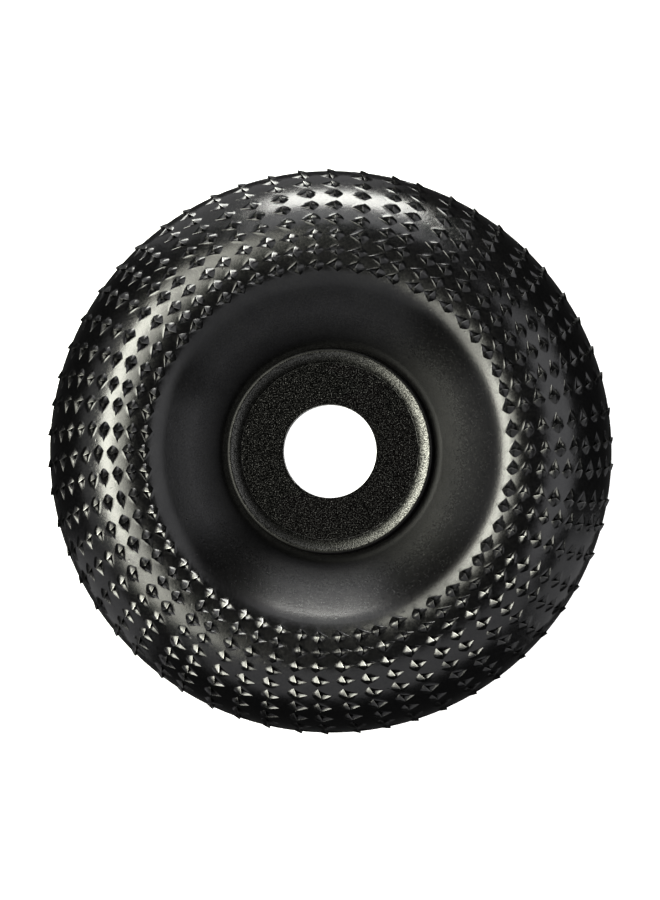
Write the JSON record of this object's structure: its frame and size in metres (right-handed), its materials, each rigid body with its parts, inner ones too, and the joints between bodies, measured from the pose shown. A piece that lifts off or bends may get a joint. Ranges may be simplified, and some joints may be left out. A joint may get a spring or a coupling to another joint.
{
  "type": "angle grinder carving disc",
  "caption": "Dished round steel disc with a rounded rim covered in raised pointed barbs and a bored hub in a central hollow, for shaping wood.",
  "frame": {"origin": "on the spindle axis, in the plane that the rim's rear edge stands on", "axes": "+Z along the spindle axis, towards the barbed side and the lock nut; the barbs point anticlockwise seen from +Z"},
  "size_m": [0.0979, 0.0981, 0.0147],
  "materials": {
    "shell_steel": "semi-gloss black coated steel, glossier on the rim and satin in the dish",
    "core_steel": "coarse matt black clamping face, brighter bare steel in the bore",
    "collar_steel": "fine-grained satin black steel"
  },
  "bodies": {
    "root": {"toothed_shell": "shell_steel", "hub_core": "core_steel", "hub_collar": "collar_steel"}
  },
  "joints": []
}
